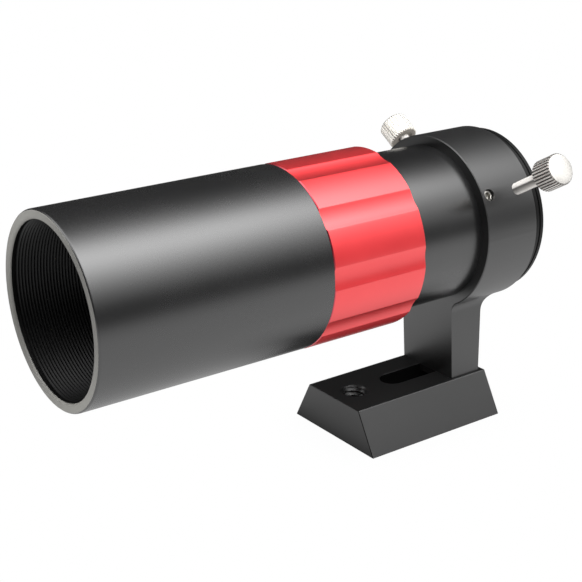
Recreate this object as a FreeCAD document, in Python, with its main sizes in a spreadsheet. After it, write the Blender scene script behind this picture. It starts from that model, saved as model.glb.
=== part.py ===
import FreeCAD, Part
import os
import Sketcher

# Finder scope: a fluted-ring focusing tube carried by a ring-and-post bracket
# on a dovetail foot.  Millimetres.  +Z is up, the optical axis runs along Y
# with the objective facing -Y, and the origin is the centre of the underside
# of the dovetail foot.

V = FreeCAD.Vector
doc = FreeCAD.newDocument("finder_scope")

# ------------------------------------------------------ driving dimensions
# Name, value, what it is.  Every place along the axis (lens_seat, ring_at and
# so on) is measured rearward from the front datum, except those called "Y of".
DIMENSIONS = [
    ("front_y", -95.0, "Y of the front datum"),
    ("rim_out", 0.5, "how far the barrel's rim stands ahead of the front datum"),
    ("axis_z", 51.0, "height of the optical axis above the foot's underside"),
    ("face_gap", 0.01, "gap between faces that meet"),
    ("fit_gap", 0.02, "radial gap of a close fit"),
    # Front barrel
    ("barrel_rad", 22.0, "front barrel outer radius"),
    ("barrel_len", 57.8, "front barrel length behind the front datum"),
    ("shade_rad", 19.75, "grooved shade bore radius"),
    ("shade_len", 26.0, "grooved shade bore depth"),
    ("groove_first", 0.95, "front edge of the first anti-reflection groove"),
    ("groove_wide", 0.66, "width of the anti-reflection grooves"),
    ("groove_pitch", 0.75, "pitch of the anti-reflection grooves"),
    ("groove_deep", 0.32, "depth of the anti-reflection grooves"),
    ("groove_num", 33, "number of anti-reflection grooves"),
    ("seat_rad", 18.2, "bore radius of the shoulder the cell butts on"),
    ("seat_end", 27.5, "rear face of that shoulder"),
    ("thread_rad", 20.0, "focus thread major radius"),
    ("thread_gap", 0.05, "radial running gap at the threads"),
    # Objective
    ("cell_len", 14.0, "objective cell length"),
    ("aperture_rad", 15.0, "clear aperture radius"),
    ("lens_rad", 16.0, "lens element radius"),
    ("lens_gap", 0.05, "radial gap round the lens elements"),
    ("lens_seat", 30.0, "rear face of the cell's front lip"),
    ("crown_front_curve", 61.0, "crown front surface radius"),
    ("inner_curve", 35.4, "crown rear and flint front surface radius"),
    ("flint_rear_curve", 139.7, "flint rear surface radius"),
    ("crown_vertex", 28.15, "crown front vertex"),
    ("crown_thick", 8.0, "crown centre thickness"),
    ("air_space", 0.5, "air gap between the elements"),
    ("flint_thick", 3.0, "flint centre thickness"),
    ("spacer_thick", 0.44, "spacer thickness along the axis"),
    ("spacer_gap", 0.03, "gap between the crown and the spacer"),
    ("retainer_front", 38.87, "retaining ring front face"),
    ("retainer_len", 2.2, "retaining ring length"),
    # Main tube
    ("tube_front", 46.0, "front end of the main tube"),
    ("tube_rear", 110.0, "rear end of the main tube"),
    ("tube_rad", 19.6, "main tube smooth outer radius"),
    ("tube_bore", 17.0, "main tube bore radius"),
    ("tube_thread_end", 75.0, "rear end of the main tube's thread"),
    ("baffle_at", 60.0, "front face of the baffle"),
    ("baffle_len", 2.4, "baffle length"),
    ("baffle_rad", 13.6, "baffle opening radius"),
    # Lock ring
    ("ring_at", 57.9, "lock ring front face"),
    ("ring_len", 26.4, "lock ring length"),
    ("lobe_rad", 22.1, "lock ring lobe radius"),
    ("flute_floor", 21.53, "radius at the bottom of a flute"),
    ("flute_cut", 9.0, "radius of the cutter that makes a flute"),
    ("flute_num", 10, "number of flutes"),
    ("flute_first", 1.5, "angle of the first flute above +X"),
    ("ring_thread_len", 12.0, "length of the lock ring's thread"),
    ("ring_relief", 20.5, "lock ring bore radius behind its thread"),
    ("ring_lip", 19.68, "lock ring rear lip radius"),
    ("ring_lip_len", 2.0, "lock ring rear lip length"),
    ("washer_in", 20.1, "thrust washer inner radius"),
    ("washer_out", 21.2, "thrust washer outer radius"),
    ("washer_thick", 0.66, "thrust washer thickness"),
    ("washer_proud", 0.08, "how far the washer stands ahead of the lock ring"),
    ("recess_gap", 0.1, "radial gap round the washer in its recess"),
    ("recess_deep", 0.6, "depth of the washer recess in the lock ring"),
    # Bracket
    ("collar_at", 104.2, "front face of the bracket ring"),
    ("collar_len", 16.2, "bracket ring length"),
    ("collar_rad", 22.0, "bracket ring outer radius"),
    ("collar_bore", 19.62, "bracket ring bore radius"),
    ("post_wide", 18.9, "post width"),
    ("post_deep", 10.24, "distance from the ring's front face to the post's rear face"),
    ("post_lean", 2.7263, "angle by which the post's front face leans back"),
    ("post_fillet", 3.5, "fillet between the post and the ring"),
    ("tongue_wide", 6.4, "width of the tongue under the post"),
    ("tongue_len", 3.9, "length of the tongue along Y"),
    ("tongue_back", 1.1, "distance from the ring's front face to the tongue"),
    ("tongue_deep", 1.8, "depth of the tongue under the foot's top"),
    # Foot
    ("foot_len", 42.3, "foot length"),
    ("foot_tall", 10.65, "foot height"),
    ("foot_wide", 32.0, "dovetail width at the underside"),
    ("foot_top", 20.2, "dovetail width at the top"),
    ("foot_edge", 0.3, "edge break on the foot"),
    ("tripod_y", -14.4, "Y of the tripod thread"),
    ("tripod_rad", 3.175, "tripod thread radius, 1/4 inch"),
    ("tripod_chamfer", 0.35, "chamfer at the mouths of the tripod thread"),
    ("slot_rad", 3.25, "half width of the foot's slot"),
    ("slot_front", -1.9, "Y of the slot's front centre"),
    ("slot_rear", 14.6, "Y of the slot's rear centre"),
    ("slot_bore", 5.0, "half width of the slot's counterbore"),
    ("slot_bore_deep", 5.8, "depth of the slot's counterbore"),
    # Foot screw and set screws
    ("bolt_y", 14.6, "Y of the foot screw"),
    ("bolt_rad", 2.5, "foot screw radius, M5"),
    ("bolt_head_rad", 4.25, "foot screw head radius"),
    ("bolt_head_tall", 3.6, "foot screw head height"),
    ("bolt_len", 14.5, "foot screw length under the head"),
    ("bolt_hex", 4.0, "foot screw hexagon across flats"),
    ("bolt_washer_rad", 4.9, "foot screw washer radius"),
    ("bolt_washer_tall", 1.0, "room for the foot screw washer's thickness"),
    ("grub_at", 106.5, "set screws' place along the axis"),
    ("grub_rad", 1.5, "set screw radius, M3"),
    ("grub_sink", 0.55, "set screw depth below the ring's surface"),
    ("grub_hex", 1.5, "set screw hexagon across flats"),
    # Clamp screws
    ("near_angle", 29.5, "near clamp and set screw angle above +X"),
    ("far_angle", 146.5, "far clamp and set screw angle above +X"),
    ("clamp_at", 115.6, "clamp screws' place along the axis"),
    ("clamp_rad", 1.5, "clamp screw radius, M3"),
    ("clamp_len", 10.85, "clamp screw length under the knob"),
    ("clamp_gap", 0.05, "radial gap round the clamp screws"),
    ("near_tip", 21.0, "near clamp screw tip distance from the axis"),
    ("far_tip", 16.9, "far clamp screw tip distance from the axis"),
    ("knob_rad", 3.9, "knob radius"),
    ("knob_len", 6.0, "knob length"),
    ("knob_bore_deep", 4.2, "depth of the hole the stud sits in"),
    ("knob_cup_rad", 2.5, "radius of the cup under the knob"),
    ("knob_cup_deep", 0.5, "depth of the cup under the knob"),
    ("knurl_num", 32, "number of knurl teeth"),
    ("knurl_deep", 0.32, "depth of the knurl"),
    # Eyepiece holder
    ("holder_nose", 104.5, "front end of the eyepiece holder"),
    ("holder_bore", 15.95, "eyepiece bore radius, 1 1/4 inch"),
    ("holder_step", 110.1, "front of the holder's larger diameter"),
    ("holder_flange", 120.5, "front face of the rear flange"),
    ("holder_end", 123.8, "rear face of the rear flange"),
    ("flange_rad", 21.1, "rear flange radius"),
    ("squeeze_half", 2.5, "half width of the compression ring's groove"),
    ("squeeze_floor", 16.9, "radius of the compression ring's groove"),
    ("squeeze_out", 16.85, "compression ring outer radius"),
    ("squeeze_in", 16.0, "compression ring inner radius"),
    ("squeeze_wide", 4.6, "compression ring width"),
    ("squeeze_split", 2.0, "gap in the compression ring"),
]


class Size:
    """A number together with the expression that gives it."""

    def __init__(self, value, text):
        self.value = float(value)
        self.text = text

    def __add__(self, other):
        other = as_size(other)
        return Size(self.value + other.value, f"({self.text} + {other.text})")

    def __sub__(self, other):
        other = as_size(other)
        return Size(self.value - other.value, f"({self.text} - {other.text})")

    def __rsub__(self, other):
        return as_size(other) - self

    def __neg__(self):
        return 0 - self

    def __mul__(self, other):
        other = as_size(other)
        return Size(self.value * other.value, f"({self.text} * {other.text})")

    def __truediv__(self, other):
        other = as_size(other)
        return Size(self.value / other.value, f"({self.text} / {other.text})")


def as_size(number):
    return number if isinstance(number, Size) else Size(number, f"({float(number):.4f})")


class Dimensions:
    """Each driving dimension as a Size, under its alias."""


dims = Dimensions()
sheet = doc.addObject("Spreadsheet::Sheet", "dims")
for row, (name, value, note) in enumerate(DIMENSIONS, start=1):
    sheet.set(f"A{row}", name)
    sheet.set(f"B{row}", f"{value:.4f}")
    sheet.set(f"C{row}", note)
    sheet.setAlias(f"B{row}", name)
    setattr(dims, name, Size(value, "dims." + name))
doc.recompute()


# --------------------------------------------------------- placing objects
def bind(obj, path, size):
    obj.setExpression(path, as_size(size).text)


def place(obj, x, y, z, axis=None, angle=None):
    base = [as_size(x), as_size(y), as_size(z)]
    turn = FreeCAD.Rotation()
    if axis is not None:
        turn = FreeCAD.Rotation(axis, as_size(angle).value)
    obj.Placement = FreeCAD.Placement(V(*[size.value for size in base]), turn)
    for letter, size in zip("xyz", base):
        bind(obj, "Placement.Base." + letter, size)
    if axis is not None:
        bind(obj, "Placement.Rotation.Angle", angle)


def place_on_radius(obj, distance, angle, at):
    """Stand obj this far from the optical axis, its own Z pointing outward."""
    distance = as_size(distance).text
    turn = 90 - angle
    obj.Placement = FreeCAD.Placement(V(0, 0, 0), FreeCAD.Rotation(V(0, 1, 0), turn.value))
    bind(obj, "Placement.Rotation.Angle", turn)
    obj.setExpression("Placement.Base.x", f"{distance} * cos({angle.text} * 1 deg)")
    bind(obj, "Placement.Base.y", dims.front_y + at)
    obj.setExpression(
        "Placement.Base.z", f"{dims.axis_z.text} + {distance} * sin({angle.text} * 1 deg)")


# ------------------------------------------------------ bodies and sketches
def new_body(name):
    return doc.addObject("PartDesign::Body", name)


def origin_feature(body, role):
    return [f for f in body.Origin.OriginFeatures if f.Role == role][0]


def new_sketch(body, name, role="XY_Plane"):
    sketch = body.newObject("Sketcher::SketchObject", name)
    sketch.AttachmentSupport = [(origin_feature(body, role), "")]
    sketch.MapMode = "FlatFace"
    return sketch


def pin_point(sketch, geometry, point, x, y):
    """Hold a point by two bound distances, or on an axis where one is zero."""
    for kind, size, axis in (("DistanceX", x, -2), ("DistanceY", y, -1)):
        if abs(size.value) < 1e-9:
            sketch.addConstraint(Sketcher.Constraint("PointOnObject", geometry, point, axis))
        else:
            index = sketch.addConstraint(
                Sketcher.Constraint(kind, -1, 1, geometry, point, size.value))
            bind(sketch, f"Constraints[{index}]", size)


def polygon(sketch, points):
    """Closed outline with every corner pinned."""
    corners = [(as_size(x), as_size(y)) for x, y in points]
    count = len(corners)
    for i in range(count):
        (x1, y1), (x2, y2) = corners[i], corners[(i + 1) % count]
        line = Part.LineSegment(V(x1.value, y1.value, 0), V(x2.value, y2.value, 0))
        sketch.addGeometry(line, False)
    for i in range(count):
        sketch.addConstraint(Sketcher.Constraint("Coincident", i, 2, (i + 1) % count, 1))
    for i, (x, y) in enumerate(corners):
        pin_point(sketch, i, 1, x, y)


def circle(sketch, x, y, radius):
    x, y = as_size(x), as_size(y)
    curve = Part.Circle(V(x.value, y.value, 0), V(0, 0, 1), radius.value)
    geometry = sketch.addGeometry(curve, False)
    index = sketch.addConstraint(Sketcher.Constraint("Radius", geometry, radius.value))
    bind(sketch, f"Constraints[{index}]", radius)
    pin_point(sketch, geometry, 3, x, y)


def feature(body, kind, name, sketch):
    made = body.newObject("PartDesign::" + kind, name)
    made.Profile = sketch
    sketch.Visibility = False
    return made


def revolve(body, kind, name, sketch):
    made = feature(body, kind, name, sketch)
    made.ReferenceAxis = (sketch, ["V_Axis"])
    made.Angle = 360.0
    return made


def pocket_both_ways(body, name, sketch):
    made = feature(body, "Pocket", name, sketch)
    made.Type = "ThroughAll"
    made.Midplane = True
    return made


def pattern_round(body, name, original, axis_role, count):
    doc.recompute()
    made = body.newObject("PartDesign::PolarPattern", name)
    made.Originals = [original]
    made.Axis = (origin_feature(body, axis_role), [""])
    made.Angle = 360.0
    bind(made, "Occurrences", count)
    body.Tip = made


def turned_body(name, points, role="XY_Plane", stem=None):
    """Points are (radius, distance along the sketch's upright axis)."""
    stem = stem or name
    body = new_body(name)
    sketch = new_sketch(body, stem + "_profile", role)
    polygon(sketch, points)
    revolve(body, "Revolution", stem + "_turning", sketch)
    return body


def turned(name, points, start):
    """A piece turned on the optical axis: (radius, distance rearward of start)."""
    body = turned_body(name, points)
    place(body, 0, dims.front_y + start, dims.axis_z)
    return body


# -------------------------------------------------- plain solids, booleans
def box(name, length, width, height):
    solid = doc.addObject("Part::Box", name)
    bind(solid, "Length", length)
    bind(solid, "Width", width)
    bind(solid, "Height", height)
    return solid


def cylinder(name, radius, height):
    solid = doc.addObject("Part::Cylinder", name)
    bind(solid, "Radius", radius)
    bind(solid, "Height", height)
    return solid


def radial_cylinder(name, radius, inner, outer, angle, at):
    """A cylinder along a radius of the optical axis, from inner to outer."""
    solid = cylinder(name, radius, outer - inner)
    place_on_radius(solid, inner, angle, at)
    return solid


def disc(name, radius, start, end):
    """A cylinder on the optical axis."""
    solid = cylinder(name, radius, end - start)
    solid.Placement = FreeCAD.Placement(V(0, 0, 0), FreeCAD.Rotation(V(1, 0, 0), -90))
    bind(solid, "Placement.Base.y", dims.front_y + start)
    bind(solid, "Placement.Base.z", dims.axis_z)
    return solid


def ball(name, radius, centre):
    """A sphere centred on the optical axis."""
    solid = doc.addObject("Part::Sphere", name)
    bind(solid, "Radius", radius)
    place(solid, 0, dims.front_y + centre, dims.axis_z)
    return solid


def hex_prism(name, flats, height):
    solid = doc.addObject("Part::Prism", name)
    solid.Polygon = 6
    solid.setExpression("Circumradius", f"{flats.text} / sqrt(3)")
    bind(solid, "Height", height)
    return solid


def common(name, shapes):
    made = doc.addObject("Part::MultiCommon", name)
    made.Shapes = shapes
    return made


def cut(name, base, tools):
    """Cut the tools away one after another; the last cut takes the name."""
    for i, tool in enumerate(tools, start=1):
        made = doc.addObject("Part::Cut", name if i == len(tools) else f"{name}_cut{i}")
        made.Base = base
        made.Tool = tool
        base = made
    return base


# --------------------------------------------------- sizes shared by pieces
SIDES = (("near", dims.near_angle), ("far", dims.far_angle))
thread_bore = dims.thread_rad + dims.thread_gap
cell_bore = dims.lens_rad + dims.lens_gap
recess_rad = dims.washer_out + dims.recess_gap
hole_reach = dims.collar_rad + 4  # outer end of the radial hole cutters
crown_rear = dims.crown_vertex + dims.crown_thick
flint_vertex = crown_rear + dims.air_space
head_top = dims.slot_bore_deep - dims.bolt_washer_tall  # underside of the foot screw's washer


# ------------------------------------------------------ barrel and objective
def front_barrel():
    """One turned tube: grooved shade bore, shoulder for the cell, focus thread."""
    front_break, rear_break, bore_break = 0.45, 0.3, 0.5
    outer, shade, rim = dims.barrel_rad, dims.shade_rad, -dims.rim_out
    body = turned("front_barrel", [
        (shade + bore_break, rim), (outer - front_break, rim), (outer, rim + front_break),
        (outer, dims.barrel_len - rear_break), (outer - rear_break, dims.barrel_len),
        (thread_bore, dims.barrel_len), (thread_bore, dims.seat_end),
        (dims.seat_rad, dims.seat_end), (dims.seat_rad, dims.shade_len),
        (shade, dims.shade_len), (shade, rim + bore_break)], 0)

    # The V-groove's cutter starts a little inside the bore.
    overrun = 0.1
    start = dims.groove_first
    end = start + dims.groove_wide
    sketch = new_sketch(body, "shade_groove_profile")
    polygon(sketch, [
        (shade - overrun, start), (shade - overrun, end), (shade, end),
        (shade + dims.groove_deep, start + dims.groove_wide / 2), (shade, start)])
    groove = revolve(body, "Groove", "shade_groove", sketch)
    doc.recompute()
    grooves = body.newObject("PartDesign::LinearPattern", "shade_grooves")
    grooves.Originals = [groove]
    grooves.Direction = (sketch, ["V_Axis"])
    bind(grooves, "Length", dims.groove_pitch * (dims.groove_num - 1))
    bind(grooves, "Occurrences", dims.groove_num)
    body.Tip = grooves
    return body


def objective_cell():
    edge, lip_bevel, lip_land = 0.4, 0.6, 0.8
    outer, length = dims.thread_rad, dims.cell_len
    seat = dims.lens_seat - dims.seat_end
    return turned("objective_cell", [
        (dims.aperture_rad + lip_bevel, 0), (outer - edge, 0), (outer, edge),
        (outer, length - edge), (outer - edge, length), (cell_bore, length),
        (cell_bore, seat), (dims.aperture_rad, seat),
        (dims.aperture_rad, seat - lip_land)], dims.seat_end + dims.face_gap)


def lens_retaining_ring():
    """Holds the lens elements in the cell; two spanner slots in its rear face."""
    outer, length = cell_bore - dims.fit_gap, dims.retainer_len
    blank = turned("retaining_ring_blank", [
        (dims.aperture_rad + 0.02, 0), (outer, 0), (outer, length),
        (dims.aperture_rad + 0.3, length)], dims.retainer_front)
    slot_long, slot_wide, slot_deep, slot_centre = 3.0, 1.2, 0.8, 15.6
    slot_y = dims.front_y + dims.retainer_front + length - slot_deep
    slots = []
    for number, side in enumerate((-1, 1), start=1):
        slot = box(f"spanner_slot_{number}", slot_long, slot_wide, slot_wide)
        place(slot, side * slot_centre - slot_long / 2, slot_y, dims.axis_z - slot_wide / 2)
        slots.append(slot)
    return cut("lens_retaining_ring", blank, slots)


def crown_lens():
    """Front element, convex on both faces."""
    return common("objective_crown_lens", [
        disc("crown_blank", dims.lens_rad, dims.crown_vertex - 1, crown_rear + 1),
        ball("crown_front_ball", dims.crown_front_curve,
             dims.crown_vertex + dims.crown_front_curve),
        ball("crown_rear_ball", dims.inner_curve, crown_rear - dims.inner_curve)])


def flint_lens():
    """Rear element, concave in front and convex behind."""
    flint_rear = flint_vertex + dims.flint_thick
    outer_form = common("flint_outer_form", [
        disc("flint_blank", dims.lens_rad, flint_vertex - 6, flint_rear + 1),
        ball("flint_rear_ball", dims.flint_rear_curve, flint_rear - dims.flint_rear_curve)])
    return cut("objective_flint_lens", outer_form, [
        ball("flint_front_ball", dims.inner_curve, flint_vertex - dims.inner_curve)])


def lens_spacer():
    """Narrow band between the elements, curved like the faces it parts."""
    front = crown_rear + dims.spacer_gap
    blank = disc("spacer_blank", dims.lens_rad, crown_rear - 6, crown_rear + 1)
    opening = disc(
        "spacer_opening", dims.aperture_rad + 0.1, crown_rear - 7, crown_rear + 2)
    outer_form = common("spacer_outer_form", [
        cut("spacer_band", blank, [opening]),
        ball("spacer_rear_ball", dims.inner_curve,
             front + dims.spacer_thick - dims.inner_curve)])
    return cut("lens_spacer", outer_form, [
        ball("spacer_front_ball", dims.inner_curve, front - dims.inner_curve)])


# ------------------------------------------------------ tube and lock ring
def main_tube():
    """Threaded in front, smooth behind."""
    front_edge, front_bevel, rear_edge, rear_bevel, thread_runout = 0.5, 0.4, 0.3, 0.2, 0.9
    thread, outer, bore = dims.thread_rad, dims.tube_rad, dims.tube_bore
    length = dims.tube_rear - dims.tube_front
    thread_end = dims.tube_thread_end - dims.tube_front
    return turned("main_tube", [
        (bore + front_bevel, 0), (thread - front_edge, 0), (thread, front_edge),
        (thread, thread_end - thread_runout), (outer, thread_end),
        (outer, length - rear_edge), (outer - rear_edge, length),
        (bore + rear_bevel, length), (bore, length - rear_bevel),
        (bore, front_bevel)], dims.tube_front)


def tube_baffle():
    """Thin-edged baffle pushed into the main tube."""
    outer = dims.tube_bore - dims.fit_gap
    return turned("tube_baffle", [
        (dims.baffle_rad, 0), (outer, 0), (outer, dims.baffle_len),
        (dims.tube_bore - 1.2, dims.baffle_len), (dims.tube_bore - 1.6, 0.9),
        (dims.baffle_rad, 0.15)], dims.baffle_at)


def lock_ring():
    """Concave flutes; threaded in front, relieved behind, lipped at the rear."""
    edge = 0.35
    outer, length = dims.lobe_rad, dims.ring_len
    lip_front = length - dims.ring_lip_len
    body = turned_body("lock_ring", [
        (recess_rad, 0), (outer - edge, 0), (outer, edge), (outer, length - edge),
        (outer - edge, length), (dims.ring_lip, length), (dims.ring_lip, lip_front),
        (dims.ring_relief, lip_front), (dims.ring_relief, dims.ring_thread_len),
        (thread_bore, dims.ring_thread_len), (thread_bore, dims.recess_deep),
        (recess_rad, dims.recess_deep)])
    sketch = new_sketch(body, "flute_profile", "XZ_Plane")
    circle(sketch, dims.flute_floor + dims.flute_cut, 0, dims.flute_cut)
    flute = pocket_both_ways(body, "flute", sketch)
    pattern_round(body, "flutes", flute, "Y_Axis", dims.flute_num)
    place(body, 0, dims.front_y + dims.ring_at, dims.axis_z, V(0, -1, 0), dims.flute_first)
    return body


def lock_washer():
    """Thrust washer between the lock ring and the barrel."""
    return turned("lock_washer", [
        (dims.washer_in, 0), (dims.washer_out, 0), (dims.washer_out, dims.washer_thick),
        (dims.washer_in, dims.washer_thick)], dims.ring_at - dims.washer_proud)


# ---------------------------------------------------------------- bracket
def pick_edges(shape, wanted):
    return [f"Edge{i}" for i, edge in enumerate(shape.Edges, start=1) if wanted(edge)]


def bracket_casting():
    """Ring and post in one piece; its own Y starts at the ring's front face."""
    post_top_drop = 14  # the post runs up into the ring, this far below the axis
    edge_break = 0.2
    body = new_body("bracket_casting")
    sketch = new_sketch(body, "bracket_ring_outline", "XZ_Plane")
    circle(sketch, 0, dims.axis_z, dims.collar_rad)
    ring = feature(body, "Pad", "bracket_ring", sketch)
    bind(ring, "Length", dims.collar_len)
    ring.Reversed = True

    half = dims.post_wide / 2
    bottom = dims.foot_tall + dims.face_gap
    top = dims.axis_z - post_top_drop
    sketch = new_sketch(body, "bracket_post_outline", "XZ_Plane")
    polygon(sketch, [(-half, bottom), (half, bottom), (half, top), (-half, top)])
    post = feature(body, "Pad", "bracket_post", sketch)
    bind(post, "Length", dims.post_deep)
    post.Reversed = True
    place(body, 0, dims.front_y + dims.collar_at, 0)
    doc.recompute()

    # Fillet where the post's sides and its rear face meet the ring.
    axis_z, ring_rad, half_wide = dims.axis_z.value, dims.collar_rad.value, half.value
    meeting_z = axis_z - (ring_rad ** 2 - half_wide ** 2) ** 0.5
    side_edges = pick_edges(
        post.Shape,
        lambda e: abs(abs(e.CenterOfMass.x) - half_wide) < 0.01
        and abs(e.CenterOfMass.z - meeting_z) < 0.05
        and e.Length > 5)
    rear_edges = pick_edges(
        post.Shape,
        lambda e: abs(e.CenterOfMass.y - dims.post_deep.value) < 0.05
        and axis_z - ring_rad - 1 < e.CenterOfMass.z < axis_z - 10
        and not isinstance(e.Curve, Part.Line))
    fillet = body.newObject("PartDesign::Fillet", "post_fillet")
    fillet.Base = (post, side_edges + rear_edges)
    bind(fillet, "Radius", dims.post_fillet)
    body.Tip = fillet
    doc.recompute()

    sketch = new_sketch(body, "bracket_bore_outline", "XZ_Plane")
    circle(sketch, 0, dims.axis_z, dims.collar_bore)
    bore = pocket_both_ways(body, "bracket_bore", sketch)
    body.Tip = bore
    doc.recompute()

    # Break the outer edges of the ring's two faces.
    rim_edges = pick_edges(
        bore.Shape,
        lambda e: isinstance(e.Curve, Part.Circle)
        and abs(e.Curve.Radius - ring_rad) < 0.01
        and (abs(e.CenterOfMass.y) < 0.01
             or abs(e.CenterOfMass.y - dims.collar_len.value) < 0.01)
        and e.Length > 20)
    chamfer = body.newObject("PartDesign::Chamfer", "bracket_edge_break")
    chamfer.Base = (bore, rim_edges)
    chamfer.Size = edge_break
    body.Tip = chamfer
    doc.recompute()
    return body


def mounting_bracket():
    """The casting with a tongue that keys into the foot's slot, and its holes."""
    casting = bracket_casting()
    ring_front = dims.front_y + dims.collar_at
    overlap = dims.face_gap + 1
    tongue = box(
        "post_tongue", dims.tongue_wide, dims.tongue_len, dims.tongue_deep + overlap)
    place(tongue, -dims.tongue_wide / 2, ring_front + dims.tongue_back,
          dims.foot_tall - dims.tongue_deep)
    whole = doc.addObject("Part::Fuse", "bracket_with_tongue")
    whole.Base = casting
    whole.Tool = tongue

    bolt_hole = cylinder("post_tapped_hole", dims.bolt_rad + dims.fit_gap, 14)
    place(bolt_hole, 0, dims.bolt_y, dims.foot_tall - 3)

    # A tilted box trims the post's front face, which leans back from the
    # bottom of the ring down to the foot.
    relief_thick, relief_tall = 5, 22.025
    relief_ahead, relief_bottom = 3.9463, 9.7622
    relief = box("post_front_relief", dims.collar_rad * 2, relief_thick, relief_tall)
    place(relief, -dims.collar_rad, ring_front - relief_ahead, relief_bottom,
          V(1, 0, 0), dims.post_lean)

    hole_start = 15
    tools = [bolt_hole, relief]
    for side, angle in SIDES:
        tools.append(radial_cylinder(
            side + "_grub_hole", dims.grub_rad, hole_start, hole_reach, angle, dims.grub_at))
        tools.append(radial_cylinder(
            side + "_clamp_hole", dims.clamp_rad + dims.clamp_gap, hole_start, hole_reach,
            angle, dims.clamp_at))
    return cut("mounting_bracket", whole, tools)


# ------------------------------------------------------------ dovetail foot
def slot_form(name, radius, height):
    """A round-ended slot along Y, as a box with a cylinder at each end."""
    bottom = -1
    middle = box(name + "_middle", radius * 2, dims.slot_rear - dims.slot_front, height)
    place(middle, -radius, dims.slot_front, bottom)
    ends = []
    for number, y in enumerate((dims.slot_front, dims.slot_rear), start=1):
        end = cylinder(f"{name}_end{number}", radius, height)
        place(end, 0, y, bottom)
        ends.append(end)
    made = doc.addObject("Part::MultiFuse", name)
    made.Shapes = [middle] + ends
    return made


def dovetail_foot():
    """Dovetail bar with a tripod hole in front and a counterbored slot behind."""
    body = new_body("foot_blank")
    sketch = new_sketch(body, "foot_section", "XZ_Plane")
    low, high = dims.foot_wide / 2, dims.foot_top / 2
    edge, tall = dims.foot_edge, dims.foot_tall
    polygon(sketch, [
        (-low, edge), (edge - low, 0), (low - edge, 0), (low, edge),
        (high, tall), (-high, tall)])
    bar = feature(body, "Pad", "foot_bar", sketch)
    bind(bar, "Length", dims.foot_len)
    bar.Midplane = True

    hole = cylinder("tripod_hole", dims.tripod_rad, tall + 2)
    place(hole, 0, dims.tripod_y, -1)
    narrow, wide = dims.tripod_rad, dims.tripod_rad + dims.tripod_chamfer
    tools = [hole]
    # Bottom and top mouths: height, lower radius, upper radius.
    mouths = ((0, wide, narrow), (tall - dims.tripod_chamfer, narrow, wide))
    for number, (z, lower, upper) in enumerate(mouths, start=1):
        mouth = doc.addObject("Part::Cone", f"tripod_mouth_{number}")
        bind(mouth, "Radius1", lower)
        bind(mouth, "Radius2", upper)
        bind(mouth, "Height", dims.tripod_chamfer)
        place(mouth, 0, dims.tripod_y, z)
        tools.append(mouth)
    tools.append(slot_form("foot_slot", dims.slot_rad, tall + 2))
    tools.append(slot_form("foot_slot_counterbore", dims.slot_bore, dims.slot_bore_deep + 1))
    return cut("dovetail_foot", body, tools)


# --------------------------------------------------------------- fasteners
def foot_screw():
    """Socket screw that holds the foot on the post, driven from below."""
    head_edge, tip_edge = 0.3, 0.4
    head_rad, shank_rad, head = dims.bolt_head_rad, dims.bolt_rad, dims.bolt_head_tall
    end = head + dims.bolt_len
    blank = turned_body("foot_screw_blank", [
        (0, 0), (head_rad - head_edge, 0), (head_rad, head_edge), (head_rad, head),
        (shank_rad, head), (shank_rad, end - tip_edge), (shank_rad - tip_edge, end),
        (0, end)])
    place(blank, 0, dims.bolt_y, head_top - head - dims.face_gap, V(1, 0, 0), 90)
    socket = hex_prism("foot_screw_socket", dims.bolt_hex, 3.2)
    place(socket, 0, dims.bolt_y, head_top - head - 1)
    return cut("foot_screw", blank, [socket])


def foot_screw_washer():
    blank = cylinder(
        "foot_washer_blank", dims.bolt_washer_rad, dims.bolt_washer_tall - dims.face_gap)
    place(blank, 0, dims.bolt_y, head_top)
    hole = cylinder("foot_washer_hole", dims.bolt_rad + 0.15, 4)
    place(hole, 0, dims.bolt_y, head_top - 1)
    return cut("foot_screw_washer", blank, [hole])


def tube_set_screws():
    """Two set screws that hold the tube in the ring."""
    socket_deep = 1.3
    outer = dims.collar_rad - dims.grub_sink
    screws = []
    for side, angle in SIDES:
        blank = radial_cylinder(
            side + "_grub_blank", dims.grub_rad, dims.tube_rad + dims.face_gap, outer,
            angle, dims.grub_at)
        socket = hex_prism(side + "_grub_socket", dims.grub_hex, 2)
        place_on_radius(socket, outer - socket_deep, angle, dims.grub_at)
        screws.append(cut(side + "_grub", blank, [socket]))
    pair = doc.addObject("Part::Compound", "tube_set_screws")
    pair.Links = screws
    return pair


# --------------------------------------------------------- eyepiece holder
def eyepiece_holder():
    """Nose inside the tube, a groove for the compression ring, a rear flange."""
    nose = dims.holder_nose
    step, flange, end = dims.holder_step - nose, dims.holder_flange - nose, dims.holder_end - nose
    groove_front = dims.clamp_at - dims.squeeze_half - nose
    groove_rear = dims.clamp_at + dims.squeeze_half - nose
    bore, floor, rim = dims.holder_bore, dims.squeeze_floor, dims.flange_rad
    nose_rad = dims.tube_bore - 0.05
    body_rad = dims.tube_rad - dims.face_gap
    mouth_bevel, rim_edge = 0.6, 0.3
    blank = turned("eyepiece_holder_blank", [
        (bore, 0), (nose_rad, 0), (nose_rad, step), (body_rad, step), (body_rad, flange),
        # Flange rim: a lower front step, then a shallow groove.
        (rim - 0.5, flange), (rim - 0.5, flange + 0.6), (rim, flange + 0.75),
        (rim, flange + 1.6), (rim - 0.35, flange + 1.7), (rim - 0.35, flange + 2.0),
        (rim, flange + 2.1), (rim, end - rim_edge), (rim - rim_edge, end),
        (bore + mouth_bevel, end), (bore, end - mouth_bevel),
        (bore, groove_rear), (floor, groove_rear), (floor, groove_front),
        (bore, groove_front)], nose)
    return cut("eyepiece_holder", blank, [
        radial_cylinder(f"holder_{side}_hole", dims.clamp_rad + 0.2, 10, hole_reach,
                        angle, dims.clamp_at)
        for side, angle in SIDES])


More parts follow.
